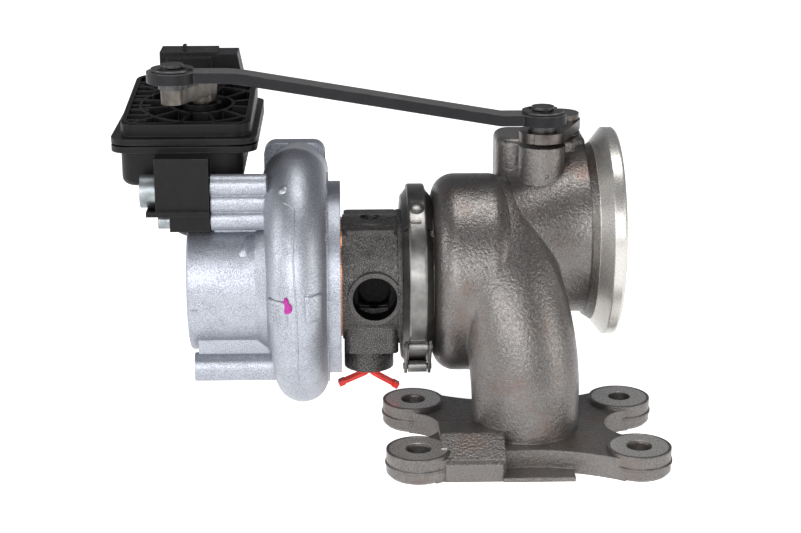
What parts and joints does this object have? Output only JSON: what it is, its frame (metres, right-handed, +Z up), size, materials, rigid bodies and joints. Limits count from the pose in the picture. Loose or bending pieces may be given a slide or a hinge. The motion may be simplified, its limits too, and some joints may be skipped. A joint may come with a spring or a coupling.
{
  "type": "turbocharger",
  "caption": "Small turbocharger: scroll turbine housing with bolted inlet flange, compressor housing, bearing housing, V-band clamp and electric wastegate actuator with link rod.",
  "frame": {"origin": "centre of the four-bolt exhaust flange on its gasket face", "axes": "+X along the rotor towards the turbine outlet, +Y towards the compressor outlet, +Z up out of the flange"},
  "size_m": [0.2139, 0.1447, 0.1472],
  "materials": {
    "cast_steel": "sand-cast heat-resistant steel, warm grey",
    "cast_iron_centre": "dark grey iron casting with machined faces",
    "cast_aluminium": "sand-cast, fine grain, pale grey",
    "machined_aluminium": "turned and milled",
    "stainless": "satin stainless steel",
    "black_steel": "black satin coating",
    "bare_steel": "machined steel",
    "dark_steel": "phosphated steel",
    "zinc_steel": "zinc plated steel",
    "nickel_alloy": "investment-cast nickel alloy",
    "black_plastic": "glass-filled black plastic",
    "circuit_green": "solder-masked board",
    "bronze": "bearing bronze",
    "copper": "soft copper",
    "seal_rubber": "black elastomer",
    "magnet": "ferrite",
    "gear_plastic": "natural acetal",
    "red_plastic": "soft red plastic"
  },
  "bodies": {
    "housing": {"turbine_housing": "cast_steel", "wastegate_bush": "bare_steel", "thrust_bearing": "bronze", "compressor_seal_ring": "cast_iron_centre", "turbine_seal_ring": "cast_iron_centre", "bearing_housing": "cast_iron_centre", "journal_bearing": "bronze", "bearing_pin": "bare_steel", "backplate": "machined_aluminium", "backplate_screws": "zinc_steel", "backplate_o_ring": "seal_rubber", "backplate_gasket": "copper", "retaining_ring": "dark_steel", "heat_shield": "stainless", "clamp_segments": "stainless", "clamp_strap_front": "stainless", "clamp_strap_back": "stainless", "clamp_trunnions": "stainless", "clamp_bolt": "zinc_steel", "clamp_nut": "zinc_steel", "clamp_hinge": "stainless", "compressor_housing": "cast_aluminium", "actuator_housing": "black_plastic", "actuator_lid": "black_plastic", "lid_seal": "seal_rubber", "connector_pins": "copper", "circuit_board": "circuit_green", "lower_bush": "bronze", "upper_bush": "bronze", "intermediate_pin": "bare_steel", "motor_can": "zinc_steel", "motor_bushes": "bronze", "motor_magnets": "magnet", "actuator_screws": "zinc_steel", "transport_cap": "red_plastic"},
    "rotor": {"rotor_shaft": "bare_steel", "turbine_wheel": "nickel_alloy", "compressor_wheel": "machined_aluminium", "shaft_nut": "dark_steel", "thrust_washer": "bare_steel", "oil_flinger": "bare_steel"},
    "wastegate": {"wastegate_spindle": "bare_steel", "wastegate_arm": "nickel_alloy", "wastegate_flap": "nickel_alloy", "flap_washer": "bare_steel", "wastegate_lever": "bare_steel", "valve_pin": "dark_steel", "valve_pin_clip": "dark_steel"},
    "actuator_crank": {"output_shaft": "bare_steel", "sector_gear": "gear_plastic", "actuator_lever": "bare_steel", "actuator_pin": "dark_steel", "actuator_pin_clip": "dark_steel"},
    "link": {"link_rod": "black_steel"},
    "intermediate": {"intermediate_gear": "gear_plastic"},
    "motor_rotor": {"motor_shaft": "bare_steel", "motor_pinion": "bronze"}
  },
  "joints": [
    {"name": "rotor_spin", "type": "hinge", "parent": "housing", "child": "rotor", "pos_m": [-0.06, 0.034, 0.06], "axis": [1, 0, 0], "continuous": true},
    {"name": "actuator_swing", "type": "hinge", "parent": "housing", "child": "actuator_crank", "pos_m": [-0.1257, 0.054, 0.12], "axis": [0, 0, 1], "range_deg": [0, 40]},
    {"name": "wastegate_swing", "type": "hinge", "parent": "housing", "child": "wastegate", "pos_m": [0.0183, 0.054, 0.1], "axis": [0, 0, 1], "range_deg": [0, 40]},
    {"name": "link_swing", "type": "hinge", "parent": "actuator_crank", "child": "link", "pos_m": [-0.1352, 0.032, 0.142], "axis": [0, 0, 1], "range_deg": [-40, 0]},
    {"name": "intermediate_spin", "type": "hinge", "parent": "housing", "child": "intermediate", "pos_m": [-0.14049, 0.07391, 0.112], "axis": [0, 0, 1], "range_deg": [-166.8, 0]},
    {"name": "motor_spin", "type": "hinge", "parent": "housing", "child": "motor_rotor", "pos_m": [-0.12748, 0.08178, 0.09], "axis": [0, 0, 1], "range_deg": [0, 466.8]}
  ],
  "couplings": [
    {"joint": "wastegate_swing", "follows": "actuator_swing", "ratio": 1},
    {"joint": "link_swing", "follows": "actuator_swing", "ratio": -1},
    {"joint": "intermediate_spin", "follows": "actuator_swing", "ratio": -4.1667},
    {"joint": "motor_spin", "follows": "actuator_swing", "ratio": 11.667}
  ]
}
